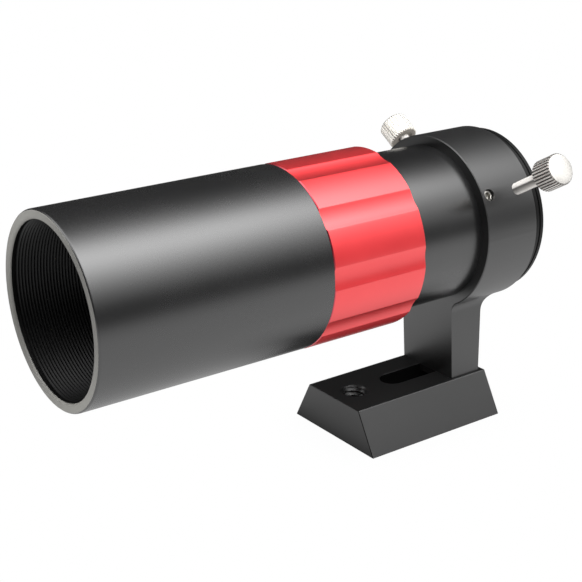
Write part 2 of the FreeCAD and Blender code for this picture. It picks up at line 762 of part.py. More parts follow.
def compression_ring():
    """Brass ring, split underneath, that the clamp screws squeeze on to the eyepiece."""
    blank = turned("compression_ring_blank", [
        (dims.squeeze_in, 0), (dims.squeeze_out, 0), (dims.squeeze_out, dims.squeeze_wide),
        (dims.squeeze_in, dims.squeeze_wide)], dims.clamp_at - dims.squeeze_wide / 2)
    cutter_long = 20
    split = box("compression_ring_split", dims.squeeze_split, cutter_long, 8)
    place(split, -dims.squeeze_split / 2, dims.front_y + dims.clamp_at - cutter_long / 2,
          dims.axis_z - 21)
    return cut("compression_ring", blank, [split])


# ------------------------------------------------------------ clamp screws
def clamp_stud(side):
    tip_edge = 0.4
    end_gap = 0.1  # left between the stud and the end of the knob's hole
    radius = dims.clamp_rad
    length = dims.clamp_len + dims.knob_bore_deep - end_gap
    return turned_body(side + "_clamp_screw_stud", [
        (0, 0), (radius - tip_edge, 0), (radius, tip_edge), (radius, length),
        (0, length)], "XZ_Plane", side + "_stud")


def clamp_knob(side):
    """Knurled knob, cupped underneath and slightly crowned on top."""
    edge = 0.35
    bore = dims.clamp_rad + dims.fit_gap
    outer, length = dims.knob_rad, dims.knob_len
    body = turned_body(side + "_clamp_screw_knob", [
        (bore, dims.knob_cup_deep), (dims.knob_cup_rad, dims.knob_cup_deep),
        (dims.knob_cup_rad, 0), (outer - edge, 0), (outer, edge), (outer, length - edge),
        (outer - edge, length), (outer - 1.6, length + 0.18), (0, length + 0.25),
        (0, dims.knob_bore_deep), (bore, dims.knob_bore_deep)], "XZ_Plane", side + "_knob")
    doc.recompute()
    overrun, half_wide = 0.2, 0.34
    sketch = new_sketch(body, side + "_knurl_profile")
    polygon(sketch, [
        (outer - dims.knurl_deep, 0), (outer + overrun, -half_wide),
        (outer + overrun, half_wide)])
    notch = feature(body, "Pocket", side + "_knurl_notch", sketch)
    notch.Type = "ThroughAll"
    notch.Reversed = True
    pattern_round(body, side + "_knurl", notch, "Z_Axis", dims.knurl_num)
    return body


def clamp_screw(side, angle, tip):
    stud = clamp_stud(side)
    knob = clamp_knob(side)
    place_on_radius(stud, tip, angle, dims.clamp_at)
    place_on_radius(knob, tip + dims.clamp_len, angle, dims.clamp_at)
    return [stud, knob]


# --------------------------------------------------- build, check and write
pieces = [
    front_barrel(), objective_cell(), lens_retaining_ring(), crown_lens(), flint_lens(),
    lens_spacer(), main_tube(), tube_baffle(), lock_ring(), lock_washer(),
    mounting_bracket(), dovetail_foot(), foot_screw(), foot_screw_washer(),
    tube_set_screws(), eyepiece_holder(), compression_ring(),
]
pieces += clamp_screw("near", dims.near_angle, dims.near_tip)
pieces += clamp_screw("far", dims.far_angle, dims.far_tip)

doc.recompute()
failed = [o.Name for o in doc.Objects if "Invalid" in o.State or "Error" in o.State]
if failed:
    raise RuntimeError(f"failed objects: {failed}")
for piece in pieces:
    if piece.Shape.isNull() or not piece.Shape.isValid() or not piece.Shape.Solids:
        raise RuntimeError(f"bad shape: {piece.Label}")
os.makedirs("parts", exist_ok=True)
for piece in pieces:
    piece.Shape.exportStep(f"parts/{piece.Label}.step")
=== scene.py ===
"""A finder scope on its dovetail foot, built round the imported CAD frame.

The optical axis runs along Y at AXIS_Z above the table, with the open front at -Y.
+Z is up and the foot stands on z = 0. Sizes are in millimetres, turned to metres by MM;
shader, light and stage distances are in metres.
"""

import math

import bmesh
import bpy
from mathutils import Matrix, Vector


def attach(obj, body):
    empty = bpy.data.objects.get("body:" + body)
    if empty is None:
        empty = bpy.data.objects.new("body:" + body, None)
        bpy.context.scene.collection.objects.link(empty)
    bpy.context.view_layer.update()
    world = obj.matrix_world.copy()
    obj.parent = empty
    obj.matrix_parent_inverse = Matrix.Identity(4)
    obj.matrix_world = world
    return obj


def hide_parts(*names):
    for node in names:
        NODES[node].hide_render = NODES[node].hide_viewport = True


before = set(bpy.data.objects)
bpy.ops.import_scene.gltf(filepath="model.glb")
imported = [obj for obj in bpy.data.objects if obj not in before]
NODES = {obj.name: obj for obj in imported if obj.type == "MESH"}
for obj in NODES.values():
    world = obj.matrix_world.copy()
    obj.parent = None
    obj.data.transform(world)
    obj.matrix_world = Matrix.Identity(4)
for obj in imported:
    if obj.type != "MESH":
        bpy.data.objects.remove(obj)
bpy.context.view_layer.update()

MM = 0.001
TAU = math.tau

FRONT_Y = -95.0             # y from which places along the axis are measured
AXIS_Z = 51.0
GRUB_AT = 106.5             # the two set screws, along the axis
CLAMP_AT = 115.6            # the two thumb screws, along the axis
NEAR_ANGLE, FAR_ANGLE = 29.5, 146.5     # both pairs of screws, degrees above +X
FOOT_TALL = 10.65
FOOT_HALF_LONG = 21.15
SLOT_REAR, SLOT_FRONT = 14.6, -1.9      # y of the centres of the foot slot's round ends
THREAD_Y = -14.4            # y of the foot's threaded hole


# --------------------------------------------------------------- node helpers
class Graph:
    """The node tree of a material or world, with short calls for the nodes used here."""

    def __init__(self, owner, output="OutputMaterial"):
        owner.use_nodes = True
        self.owner = owner
        self.tree = owner.node_tree
        self.tree.nodes.clear()
        self.out = self.node(output)

    def feed(self, socket, value):
        """Links a socket into another, or sets its plain value."""
        if isinstance(value, bpy.types.NodeSocket):
            self.tree.links.new(value, socket)
        else:
            socket.default_value = value

    def node(self, kind, settings=(), **inputs):
        """A new node; an underscore in an input's name stands for a space."""
        made = self.tree.nodes.new("ShaderNode" + kind)
        for key, value in dict(settings).items():
            setattr(made, key, value)
        for key, value in inputs.items():
            self.feed(made.inputs[key.replace("_", " ")], value)
        return made

    def finish(self, shader):
        """Links the last shader to the output and returns the material or world."""
        self.feed(self.out.inputs[0], shader.outputs[0])
        return self.owner

    def math(self, operation, *values):
        made = self.node("Math", {"operation": operation})
        for i, value in enumerate(values):
            self.feed(made.inputs[i], value)
        return made.outputs[0]

    def add(self, a, b):
        return self.math("ADD", a, b)

    def subtract(self, a, b):
        return self.math("SUBTRACT", a, b)

    def multiply(self, a, b):
        return self.math("MULTIPLY", a, b)

    def length(self, a, b):
        return self.math("SQRT", self.add(self.multiply(a, a), self.multiply(b, b)))

    def ramp(self, value, stops):
        """A linear colour ramp; each stop is (position, grey or colour)."""
        made = self.node("ValToRGB")
        elements = made.color_ramp.elements
        while len(elements) > 1:
            elements.remove(elements[0])
        for i, (at, colour) in enumerate(stops):
            element = elements[0] if i == 0 else elements.new(at)
            element.position = at
            element.color = (*(colour if isinstance(colour, tuple) else (colour,) * 3), 1)
        self.feed(made.inputs[0], value)
        return made.outputs[0]

    def span(self, value, source, target=(0, 1), smooth=False):
        """Maps the source range onto the target range, clamped."""
        kind = "SMOOTHSTEP" if smooth else "LINEAR"
        made = self.node("MapRange", {"interpolation_type": kind})
        for i, part in enumerate((value, *source, *target)):
            self.feed(made.inputs[i], part)
        return made.outputs[0]

    def split(self, vector):
        return self.node("SeparateXYZ", Vector=vector).outputs

    def object_coords(self):
        return self.node("TexCoord").outputs["Object"]

    def noise(self, scale, detail=3.0, rough=0.6, stretch=(1, 1, 1)):
        coords = self.node("Mapping", Scale=stretch, Vector=self.object_coords())
        return self.node("TexNoise", Scale=scale, Detail=detail, Roughness=rough,
                         Vector=coords.outputs[0]).outputs["Fac"]

    def about_axis(self):
        """Sideways and upward distance from the optical axis, in metres."""
        x, y, z = self.split(self.object_coords())
        return x, self.subtract(z, AXIS_Z * MM)

    def shaded_front_mask(self):
        """1 on the flat front face of the bracket's ring and on all below the foot's top, where
        the reflection is turned down as painted shade.
        """
        x, z = self.about_axis()
        away = self.length(x, z)
        normal = self.split(self.node("NewGeometry").outputs["True Normal"])
        flat = self.math("LESS_THAN", normal[1], -0.95)
        ring = self.multiply(flat, self.span(away, (0.0222, 0.0232), (1, 0)))
        ring = self.multiply(ring, self.span(z, (-0.0185, -0.013), smooth=True))
        foot = self.span(z, (0.0107 - AXIS_Z * MM, 0.0104 - AXIS_Z * MM))
        return self.math("MAXIMUM", ring, foot)


def new_material(name):
    return Graph(bpy.data.materials.new(name))


# ------------------------------------------------------------- material makers
def surface(g, low, high, patch_scale, rough, spread, grain, grain_scale, grain_depth, marks,
            edge=0.0):
    """Colour, roughness and normal of a worked face.

    Broad patches blend low into high. Grain is a fine bump, marks adds turning lines round
    the axis, and edge is the radius of a shaded corner.
    """
    patches = g.noise(patch_scale)
    fine = g.noise(grain_scale, detail=2)
    colour = g.ramp(patches, [(0.3, low), (0.7, high)])
    roughness = g.add(g.span(patches, (0.3, 0.7), (rough - spread, rough + spread)),
                      g.span(fine, (0.2, 0.8), (-spread, spread)))
    grained = g.node("Bump", Strength=grain, Distance=grain_depth, Height=fine)
    normal = grained.outputs[0]
    if marks > 0:
        lines = g.noise(9000, detail=2, rough=0.7, stretch=(0.02, 1, 0.02))
        normal = g.node("Bump", Strength=marks, Distance=0.00002, Height=lines,
                        Normal=normal).outputs[0]
    if edge > 0:
        bevel = g.node("Bevel", {"samples": 6}, Radius=edge * MM)
        g.feed(grained.inputs["Normal"], bevel.outputs[0])
    return colour, roughness, normal


def anodised(name, dark, light, rough, spread, ior, grain, grain_scale=5200, marks=0.0, edge=0.0,
             shaded_front_specular=None):
    """Black anodised aluminium: a dyed film, faintly blue."""
    g = new_material(name)
    colour, roughness, normal = surface(
        g, (dark, dark, dark * 1.03), (light, light, light * 1.03), patch_scale=60, rough=rough,
        spread=spread, grain=grain, grain_scale=grain_scale, grain_depth=0.00004, marks=marks,
        edge=edge)
    film = g.node("BsdfPrincipled", Base_Color=colour, Roughness=roughness, IOR=ior, Normal=normal)
    # Painted shade: less reflection on the bracket's flat front face and low down.
    if shaded_front_specular is not None:
        level = g.span(g.shaded_front_mask(), (0, 1), (0.5, shaded_front_specular))
        g.feed(film.inputs["Specular IOR Level"], level)
    return g.finish(film)


def painted_turning_highlight(g, colour, amount):
    """Painted highlight: a turned face's colour is made brighter along one line through its
    middle, and dimmer across it, standing in for the sheen of its turning lines.
    """
    line = math.radians(2 * 120)    # twice the line's angle above +X
    x, z = g.about_axis()
    xx, zz, xz = g.multiply(x, x), g.multiply(z, z), g.multiply(x, z)
    wave = g.add(g.multiply(g.subtract(xx, zz), math.cos(line)),
                 g.multiply(xz, 2 * math.sin(line)))
    wave = g.math("DIVIDE", wave, g.add(g.add(xx, zz), 1e-9))
    scaled = g.node("VectorMath", {"operation": "SCALE"},
                    Scale=g.add(g.multiply(wave, amount), 1.0))
    g.feed(scaled.inputs[0], colour)
    return scaled.outputs[0]


def metal(name, low, high, rough, spread, grain, grain_scale=5200, marks=0.0, metallic=1.0,
          coat=0.0, coat_rough=0.2, fan=0.0):
    g = new_material(name)
    colour, roughness, normal = surface(
        g, low, high, patch_scale=90, rough=rough, spread=spread, grain=grain,
        grain_scale=grain_scale, grain_depth=0.00003, marks=marks)
    # A painted highlight across a turned face.
    if fan > 0:
        colour = painted_turning_highlight(g, colour, fan)
    return g.finish(g.node(
        "BsdfPrincipled", Base_Color=colour, Metallic=metallic, Roughness=roughness,
        Normal=normal, Coat_Weight=coat, Coat_Roughness=coat_rough, Coat_IOR=1.6))


def glass(name, ior):
    """Smudged glass under a thin coating."""
    g = new_material(name)
    smudge = g.noise(120, detail=4)
    return g.finish(g.node(
        "BsdfPrincipled", Base_Color=g.ramp(smudge, [(0.3, (0.97, 1.0, 0.98)), (0.7, 1.0)]),
        Roughness=g.span(smudge, (0.4, 0.8), (0.0, 0.03)), IOR=ior, Transmission_Weight=1.0,
        Thin_Film_Thickness=110.0, Thin_Film_IOR=1.38))


def plastic(name, low, high, rough):
    g = new_material(name)
    grain = g.noise(700)
    bump = g.node("Bump", Strength=0.15, Distance=0.00003, Height=grain)
    return g.finish(g.node(
        "BsdfPrincipled", Base_Color=g.ramp(grain, [(0.3, low), (0.7, high)]),
        Roughness=g.span(grain, (0.3, 0.7), (rough - 0.05, rough + 0.05)), IOR=1.5,
        Normal=bump.outputs[0]))


# Painted reflection on the shank: (how far the face turns toward PAINTED_REFLECTION_WAY, the
# painted light's way, 0 to 1; brightness)
PAINTED_SHANK_REFLECTION = [(0, .9), (0.31, .97), (0.37, .55), (0.42, .17), (0.5, .15), (0.58, .27),
               (0.68, .42), (0.78, .6), (0.88, .9), (1, .95)]
PAINTED_REFLECTION_WAY = (0.487, 0.140, -0.861)


def painted_reflection_shank(name):
    """Shank with a painted reflection: bright and dark stripes in its colour, set by which way the
    surface faces, stand in for what a polished shank reflects.
    """
    g = new_material(name)
    facing = g.node("VectorMath", {"operation": "DOT_PRODUCT"})
    g.feed(facing.inputs[0], g.node("NewGeometry").outputs["Normal"])
    g.feed(facing.inputs[1], PAINTED_REFLECTION_WAY)
    at = g.add(g.span(facing.outputs["Value"], (-1, 1)),
               g.span(g.noise(900, detail=2), (0.3, 0.7), (-0.01, 0.01)))
    bands = g.ramp(at, [(stop, (v, v * 0.965, v * 0.92)) for stop, v in PAINTED_SHANK_REFLECTION])
    return g.finish(g.node(
        "BsdfPrincipled", Base_Color=bands, Metallic=0.05,
        Roughness=g.span(g.noise(120, rough=0.5), (0.3, 0.7), (0.26, 0.30))))


# ------------------------------------------------------------------- materials
BLASTED = anodised("blasted_black_film", dark=0.0045, light=0.0065, rough=0.27, spread=0.012,
                   ior=1.80, grain=0.07)
SATIN = anodised("satin_black_film", dark=0.0045, light=0.0065, rough=0.26, spread=0.012,
                 ior=1.79, grain=0.03, grain_scale=4200, marks=0.12)
# The bracket's flat front face and its low parts reflect less: painted shade.
BRACKET = anodised("bracket_black_film", dark=0.005, light=0.007, rough=0.37, spread=0.015,
                   ior=1.80, grain=0.07, edge=0.035, shaded_front_specular=0.2)
# Painted light: the foot's flanks and base are the same film as its ends, top and thread, given a
# stronger reflection to look brighter.
FOOT = anodised("foot_flank_film_painted_light", dark=0.0055, light=0.0075, rough=0.40, spread=0.015,
                ior=1.88, grain=0.07)
FOOT_END = anodised("foot_end_black_film", dark=0.0055, light=0.0075, rough=0.40, spread=0.015,
                    ior=1.64, grain=0.07)
# Painted shade: a near-black copy of the film on the corner breaks between the foot's ends and
# flanks, drawn as a dark line.
FOOT_EDGE = anodised("foot_corner_painted_shade", dark=0.001, light=0.002, rough=0.5, spread=0.02,
                     ior=1.2, grain=0.05)
MATT = anodised("matt_black_lining", dark=0.0008, light=0.0014, rough=0.42, spread=0.02,
                ior=1.33, grain=0.06)
VOID = anodised("unlit_slot_wall", dark=0.0006, light=0.001, rough=0.6, spread=0.02,
                ior=1.25, grain=0.05)
HOLDER = anodised("holder_black_film", dark=0.003, light=0.0045, rough=0.42, spread=0.015,
                  ior=1.30, grain=0.05, grain_scale=4200, marks=0.1)
# The rim's own light grey, with a painted highlight across its turned face.
RIM = metal("machined_rim_painted_highlight", low=(0.245, 0.241, 0.224), high=(0.265, 0.26, 0.245), rough=0.6,
            spread=0.02, grain=0.08, grain_scale=5000, marks=0.1, metallic=0.25, fan=0.3)
RED = metal("red_anodised_film", low=(0.86, 0.050, 0.058), high=(0.89, 0.056, 0.064), rough=0.53,
            spread=0.015, grain=0.03, coat=0.9, coat_rough=0.25)
# Painted shade: a darker, smoother copy of the red film on the ring's ends and edges.
RED_EDGE = metal("red_end_painted_shade", low=(0.62, 0.04, 0.065), high=(0.66, 0.05, 0.075),
                 rough=0.34, spread=0.02, grain=0.05, coat=1.0)
# The shank's colour holds a painted reflection.
SHANK = painted_reflection_shank("shank_painted_reflection")
# Painted light: a near-white copy of the nickel on the far knob's notch walls.
NOTCH_PAINTED_LIGHT = metal("far_notch_wall_painted_light", low=(0.84, 0.82, 0.76), high=(0.88, 0.86, 0.80),
                     rough=0.5, spread=0.02, grain=0.02, metallic=0.15)
KNOB_EDGE = metal("knob_edge_break", low=(0.30, 0.285, 0.27), high=(0.36, 0.34, 0.32),
                  rough=0.4, spread=0.02, grain=0.04, metallic=0.6)
NICKEL = metal("bright_nickel", low=(0.74, 0.72, 0.68), high=(0.80, 0.775, 0.74),
               rough=0.27, spread=0.02, grain=0.03, metallic=0.55)
# Painted shade: a dark copy of the nickel on the near knob's notch walls.
NOTCH_PAINTED_SHADE = metal("near_notch_wall_painted_shade", low=(0.17, 0.16, 0.15), high=(0.21, 0.20, 0.185),
                rough=0.45, spread=0.02, grain=0.04, metallic=0.6)
# Painted shade: a darker, browner copy of the nickel on the knobs' undersides, rougher as a turned
# face.
TURNED_AND_SHADED = metal("knob_underside_painted_shade", low=(0.37, 0.335, 0.29), high=(0.45, 0.405, 0.36),
               rough=0.5, spread=0.02, grain=0.05, metallic=0.5)
SET_STEEL = metal("set_screw_steel", low=(0.30, 0.29, 0.27), high=(0.42, 0.41, 0.38),
                  rough=0.3, spread=0.04, grain=0.1)
STEEL = metal("plain_steel", low=(0.52, 0.52, 0.51), high=(0.62, 0.61, 0.60),
              rough=0.26, spread=0.03, grain=0.08)
OXIDE = metal("black_oxide_steel_skin", low=(0.030, 0.030, 0.033), high=(0.05, 0.05, 0.054),
              rough=0.34, spread=0.04, grain=0.1, metallic=0.7)
BRASS = metal("brass_strip", low=(0.72, 0.50, 0.20), high=(0.80, 0.58, 0.25),
              rough=0.28, spread=0.03, grain=0.08, marks=0.2)
PLASTIC = plastic("white_plastic_washer", low=(0.62, 0.61, 0.58), high=(0.68, 0.67, 0.64),
                  rough=0.45)
CROWN = glass("coated_crown_glass", ior=1.517)
FLINT = glass("coated_flint_glass", ior=1.62)


# --------------------------------------------------------------- mesh helpers
def soften(points, radius, steps=3):
    """A closed outline with its corners rounded. A point is (a, b) or (a, b, its own radius)."""
    out, count = [], len(points)
    for i in range(count):
        corner, before, after = (Vector(points[k % count][:2]) for k in (i, i - 1, i + 1))
        r = points[i][2] if len(points[i]) > 2 else radius
        back, on = before - corner, after - corner
        if r <= 0 or back.length < 1e-6 or on.length < 1e-6:
            out.append(corner)
            continue
        back_long, on_long = back.length, on.length
        back.normalize()
        on.normalize()
        angle = back.angle(on)
        if angle > math.pi - 0.08:      # all but straight
            out.append(corner)
            continue
        cut = min(r / math.tan(angle / 2), back_long * 0.42, on_long * 0.42)
        r = cut * math.tan(angle / 2)
        centre = corner + (back + on).normalized() * (r / math.sin(angle / 2))
        start, end = corner + back * cut - centre, corner + on * cut - centre
        turn = math.atan2(start.x * end.y - start.y * end.x, start.dot(end))
        for k in range(steps + 1):
            c, s = math.cos(turn * k / steps), math.sin(turn * k / steps)
            out.append(centre + Vector((start.x * c - start.y * s, start.x * s + start.y * c)))
    return out


def optical(x, y, z):
    """Local (across, up, along) to the frame, for parts on the optical axis."""
    return Vector((x, FRONT_Y + z, AXIS_Z + y)) * MM


def radial_place(angle, at, start=0):
    """Local Z points outward at an angle above +X, starting `start` from the optical axis."""
    c, s = math.cos(math.radians(angle)), math.sin(math.radians(angle))
    y = FRONT_Y + at

    def place(a, b, h):
        r = start + h
        return Vector((c * r - s * a, y + b, AXIS_Z + s * r + c * a)) * MM

    return place


def foot_upright(a, b, h):
    """Local Z points up at the foot screw, starting from the table."""
    return Vector((a, SLOT_REAR + b, h)) * MM


def off_axis(point):
    return math.hypot(point.x, point.z - AXIS_Z)


def new_object(name, bm, mats=()):
    mesh = bpy.data.meshes.new(name)
    bm.to_mesh(mesh)
    bm.free()
    for mat in mats:
        mesh.materials.append(mat)
    obj = bpy.data.objects.new(name, mesh)
    bpy.context.scene.collection.objects.link(obj)
    return obj


def smooth_object(name, bm, mats, pick=None, sharp=30.0):
    """Smooth shading up to `sharp` degrees; pick(centre in mm, normal) gives a face's slot."""
    for face in bm.faces:
        face.smooth = True
        if pick:
            face.material_index = pick(face.calc_center_median() / MM, face.normal)
    limit = math.radians(sharp)
    for edge in bm.edges:
        if len(edge.link_faces) == 2:
            edge.smooth = edge.calc_face_angle(0.0) < limit
    obj = new_object(name, bm, mats)
    weighted = obj.modifiers.new("weighted", "WEIGHTED_NORMAL")
    weighted.keep_sharp = True
    weighted.weight = 80
    return obj


def rings_to_mesh(name, rings, place, mats, pick=None, closed=True, sharp=30.0):
    """Joins rings of (a, b, h) points, all with the same count, or one point for a pole."""
    bm = bmesh.new()
    rows = [[bm.verts.new(place(*point)) for point in ring] for ring in rings]
    pairs = list(zip(rows, rows[1:])) + ([(rows[-1], rows[0])] if closed else [])
    for a, b in pairs:
        count = max(len(a), len(b))
        if count == 1:
            continue
        for k in range(count):
            m = (k + 1) % count
            if len(a) == 1:
                loop = (a[0], b[m], b[k])
            elif len(b) == 1:
                loop = (a[k], a[m], b[0])
            else:
                loop = (a[k], a[m], b[m], b[k])
            bm.faces.new(loop)
    bmesh.ops.remove_doubles(bm, verts=bm.verts, dist=1e-8)
    bmesh.ops.recalc_face_normals(bm, faces=bm.faces)
    return smooth_object(name, bm, mats, pick, sharp)


def circle(radius, height, count):
    """A ring of points, or a pole where the radius is nought."""
    if radius < 1e-6:
        return [(0, 0, height)]
    return [(radius * math.cos(TAU * k / count), radius * math.sin(TAU * k / count), height)
            for k in range(count)]


def turned(name, points, mats, at=0, place=optical, segs=192, soft=0.10, steps=3, pick=None,
           sharp=30.0):
    """A body of revolution from a closed outline of (radius, along[, corner radius])."""
    rings = [circle(r, at + h, segs) for r, h in soften(points, soft, steps)]
    return rings_to_mesh(name, rings, place, mats, pick, sharp=sharp)


def socket_screw(name, place, mat, mouth, way, head, flats, socket, chamfer, rest, segs=48):
    """A screw with a hexagon socket, its mouth at height `mouth` and its body running `way`.

    rest is the outline past the head's rim, as (radius, height).
    """

    def hexagon(across, h):
        out = []
        for k in range(segs):
            a = TAU * k / segs
            off_flat = (a + math.pi / 6) % (math.pi / 3) - math.pi / 6
            r = across / 2 / math.cos(off_flat)
            out.append((r * math.cos(a), r * math.sin(a), h))
        return out

    rings = [
        circle(0, mouth + way * (socket + 0.3), segs),
        hexagon(flats, mouth + way * socket),
        hexagon(flats, mouth + way * 0.12),
        hexagon(flats + 0.22, mouth),
        circle(head - chamfer, mouth, segs),
        circle(head - chamfer * 0.3, mouth + way * chamfer * 0.3, segs),
        circle(head, mouth + way * chamfer, segs),
    ]
    rings += [circle(r, h, segs) for r, h in rest]
    return rings_to_mesh(name, rings, place, [mat], closed=False, sharp=28)


def stack(name, levels):
    """A closed solid from stacked outlines: levels is [(z, [(x, y), ...])]."""
    bm = bmesh.new()
    rows = [[bm.verts.new(Vector((x, y, z)) * MM) for x, y in points] for z, points in levels]
    count = len(rows[0])
    for a, b in zip(rows, rows[1:]):
        for k in range(count):
            m = (k + 1) % count
            bm.faces.new((a[k], a[m], b[m], b[k]))
    bm.faces.new(rows[0])
    bm.faces.new(rows[-1])
    bmesh.ops.recalc_face_normals(bm, faces=bm.faces)
    return new_object(name, bm)


def carve(base, cutters, name, mats, sharp, pick):
    """Cuts the cutters out of base and returns the result as a new object."""
    for cutter in cutters:
        cut = base.modifiers.new("cut", "BOOLEAN")
        cut.operation = "DIFFERENCE"
        cut.solver = "EXACT"
        cut.object = cutter
    bpy.context.view_layer.update()
    depsgraph = bpy.context.evaluated_depsgraph_get()
    bm = bmesh.new()
    bm.from_mesh(bpy.data.meshes.new_from_object(base.evaluated_get(depsgraph)))
    for obj in [base] + cutters:
        bpy.data.objects.remove(obj)
    return smooth_object(name, bm, mats, pick, sharp)


def wear(obj, body, node):
    """Puts obj on a moving body in place of a CAD node."""
    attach(obj, body)
    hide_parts(node)


def recolour(node, mat):
    """Keeps a CAD piece as it is, with a new material."""
    NODES[node].data.materials.clear()
    NODES[node].data.materials.append(mat)


# --------------------------------------------------------------- front barrel
def front_barrel():
    """The wide tube, lined in front of the lens with fine grooves."""
    bore, pitch, grooves = 19.75, 0.75, 33
    rim_out = 0.5           # how far the rim stands forward of FRONT_Y
    outline = [
        (19.75, -rim_out, 0.95), (22.0, -rim_out, 0.7), (22.0, 57.8, 0.08), (20.05, 57.8, 0.1),
        (20.05, 27.5, 0), (18.2, 27.5, 0.1), (18.2, 26.0, 0.1), (bore, 26.0, 0)]
    for i in reversed(range(grooves)):
        start = 0.95 + i * pitch
        outline += [(bore, start + 0.66, 0), (bore + 0.32, start + 0.33, 0), (bore, start, 0)]

    def side(centre, normal):
        """0 on the outside, 1 on the lining, 2 on the rim's front."""
        r = off_axis(centre)
        behind = centre.y - FRONT_Y + rim_out
        if (behind < 0.14 and r < 21.8) or (behind < 0.8 and r < 20.9):
            return 2
        return 0 if r > 21.6 else 1

    barrel = turned("barrel_tube", outline, [BLASTED, MATT, RIM], segs=224, steps=5, pick=side,
                    sharp=26)
    wear(barrel, "barrel", "front_barrel")


# -------------------------------------------------------------- objective set
def lens_mount():
    cell = turned("lens_cell", [
        (15.6, 0), (19.6, 0), (20.0, 0.4), (20.0, 13.6), (19.6, 14.0), (16.05, 14.0),
        (16.05, 2.5, 0), (15.0, 2.5), (15.0, 1.7)], [MATT], at=27.51, segs=160)
    wear(cell, "barrel", "objective_cell")
    retainer = turned("lens_lock_ring", [(15.02, 0), (16.03, 0), (16.03, 2.2), (15.3, 2.2)],
                      [MATT], at=38.87, segs=128, soft=0.06)
    wear(retainer, "barrel", "lens_retaining_ring")


def sag(curve, r):
    """How far a face of this radius of curvature has moved along at r; rearward if positive."""
    return math.copysign(abs(curve) - math.sqrt(curve * curve - r * r), curve)


def lens(name, front_curve, rear_curve, front_at, rear_at, mat, node):
    rim, chamfer, steps = 16.0, 0.12, 24
    radii = [rim * i / steps for i in range(steps)] + [rim - chamfer]
    points = [(r, front_at + sag(front_curve, r)) for r in radii]
    points += [(rim, front_at + sag(front_curve, rim) + chamfer),
               (rim, rear_at + sag(rear_curve, rim) - chamfer)]
    points += [(r, rear_at + sag(rear_curve, r)) for r in reversed(radii)]
    obj = rings_to_mesh(name, [circle(r, h, 128) for r, h in points], optical, [mat], sharp=35)
    wear(obj, "objective", node)


def objective():
    shared_curve = 35.4     # the two facing surfaces
    lens("crown_element", front_curve=61.0, rear_curve=-shared_curve, front_at=28.15,
         rear_at=36.15, mat=CROWN, node="objective_crown_lens")
    lens("flint_element", front_curve=-shared_curve, rear_curve=-139.7, front_at=36.65,
         rear_at=39.65, mat=FLINT, node="objective_flint_lens")
    recolour("lens_spacer", BRASS)


# ------------------------------------------------------------------ main tube
def main_tube():
    """The narrower tube, threaded outside at its front, with a baffle in its bore."""
    crest, root, pitch = 19.99, 19.62, 0.75
    outline = [(17.4, 0), (19.5, 0), (19.67, 0.4, 0)]
    along = 0.9
    while along < 27.6:
        outline += [(crest, along, 0), (root, along + pitch / 2, 0)]
        along += pitch
    outline += [(crest, along, 0.05), (19.6, 29.0, 0.1), (19.6, 63.7, 0.15), (19.3, 64.0, 0.15),
                (17.2, 64.0), (17.0, 63.8), (17.0, 0.4)]
    tube = turned("focus_tube", outline, [SATIN, MATT], at=46.0,
                  pick=lambda centre, normal: 1 if off_axis(centre) < 18 else 0)
    wear(tube, "tube_and_mount", "main_tube")
    baffle = turned("knife_baffle", [
        (13.6, 0), (16.98, 0), (16.98, 2.4), (15.8, 2.4), (15.4, 0.9), (13.6, 0.15)], [MATT],
        at=60.0, segs=128, soft=0.04, steps=2)
    wear(baffle, "tube_and_mount", "tube_baffle")


# ------------------------------------------------------------------ lock ring
RING_AT, RING_LONG = 57.9, 26.4
LOBE = 22.1                 # the ring's outer radius between flutes
FLUTES = 10
CUTTER = 9.0                # radius of each flute's arc
CUTTER_OUT = 21.53 + CUTTER     # arc centre from the axis: flute floor plus arc radius


def flute_radius(off_middle):
    """Distance from the axis to a flute's floor, at an angle off its middle."""
    inside = CUTTER ** 2 - (CUTTER_OUT * math.sin(off_middle)) ** 2
    return CUTTER_OUT * math.cos(off_middle) - math.sqrt(max(inside, 0.0))


def flute_edge(radius):
    """The angle off a flute's middle at which it meets a circle of this radius."""
    return math.acos((radius ** 2 + CUTTER_OUT * CUTTER_OUT - CUTTER ** 2)
                     / (2 * radius * CUTTER_OUT))


def lock_columns(radius):
    """(angle, radius) round the ring at one lathe radius: the lobes, with flutes cut in them."""
    out, edge, inset = [], flute_edge(radius), math.radians(0.17)
    gap = math.radians(36) - 2 * (edge + inset)
    for flute in range(FLUTES):
        middle = math.radians(1.5 + 36 * flute)
        for k in range(15):
            across = -1 + 2 * k / 14
            turn = across * (edge - inset)
            out.append((middle + turn, flute_radius(turn)))
        for k in range(17):
            out.append((middle + edge + inset + gap * k / 16, radius))
    return out


